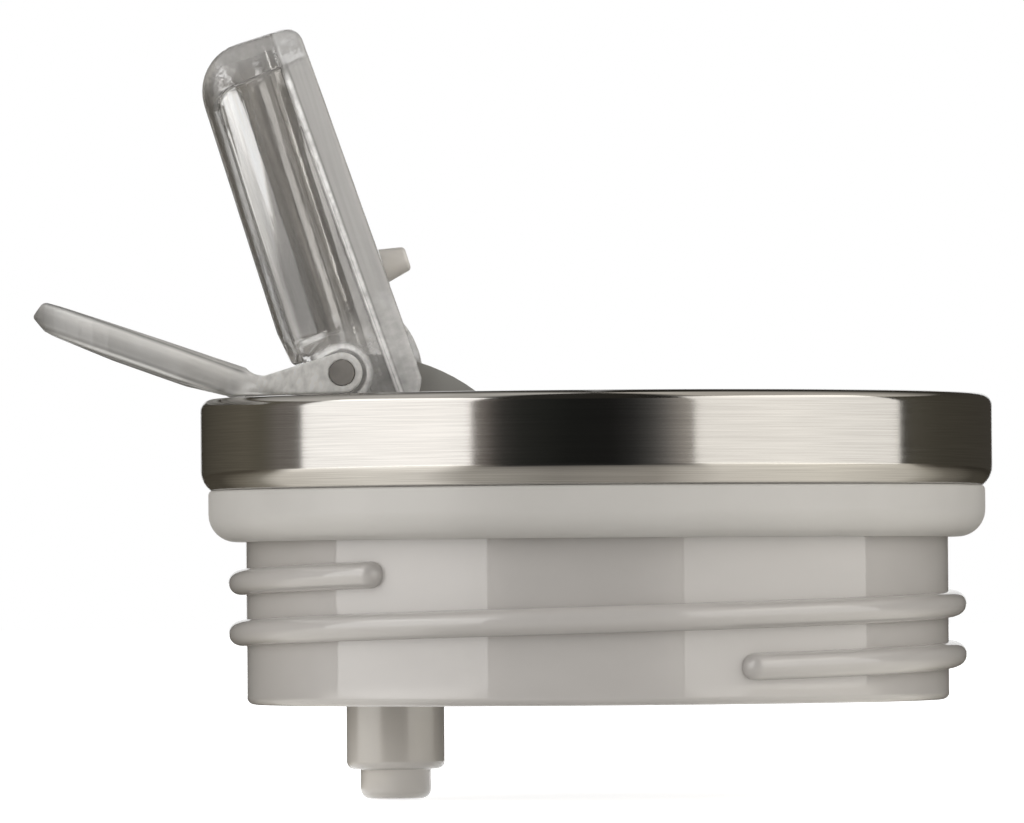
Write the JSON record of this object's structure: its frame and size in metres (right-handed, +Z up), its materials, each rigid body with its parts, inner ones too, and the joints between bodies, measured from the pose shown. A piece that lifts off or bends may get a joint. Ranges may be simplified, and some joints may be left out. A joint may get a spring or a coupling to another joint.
{
  "type": "tumbler lid with flip-up spout",
  "caption": "Round screw-in tumbler lid with a steel band, a threaded neck, a clear flip-up drinking spout, a clear carry loop and a straw stem below.",
  "frame": {"origin": "on the lid's axis, in the plane of the gasket's underside, which seats on the vessel's rim", "axes": "+Z up along the lid's axis, out of the vessel; the hinge runs along Y on the -X side, and the spout folds down towards +X"},
  "size_m": [0.0966, 0.08, 0.0777],
  "materials": {
    "steel": "brushed round the band, satin",
    "gasket_silicone": "matte light grey",
    "body_plastic": "glossy grey",
    "deck_plastic": "satin mid grey",
    "seal_silicone": "matte pale grey",
    "stem_plastic": "glossy grey",
    "pin_plastic": "satin mid grey",
    "clear_plastic": "clear, glossy",
    "plug_silicone": "translucent, matte"
  },
  "bodies": {
    "lid": {"steel_band": "steel", "rim_gasket": "gasket_silicone", "threaded_body": "body_plastic", "deck": "deck_plastic", "deck_seal": "seal_silicone", "spout_seat": "seal_silicone", "straw_stem": "stem_plastic", "stem_seal": "seal_silicone", "vent_tube": "stem_plastic", "vent_valve": "seal_silicone", "hinge_pin_front": "pin_plastic", "hinge_pin_back": "pin_plastic"},
    "spout": {"spout": "clear_plastic", "vent_plug": "plug_silicone"},
    "loop": {"carry_loop": "clear_plastic"}
  },
  "joints": [
    {"name": "spout_hinge", "type": "hinge", "parent": "lid", "child": "spout", "pos_m": [-0.0255, 0, 0.01685], "axis": [0, 1, 0], "range_deg": [0, 107.35]},
    {"name": "loop_hinge", "type": "hinge", "parent": "lid", "child": "loop", "pos_m": [-0.0255, 0, 0.01685], "axis": [0, 1, 0], "range_deg": [0, 45]}
  ]
}
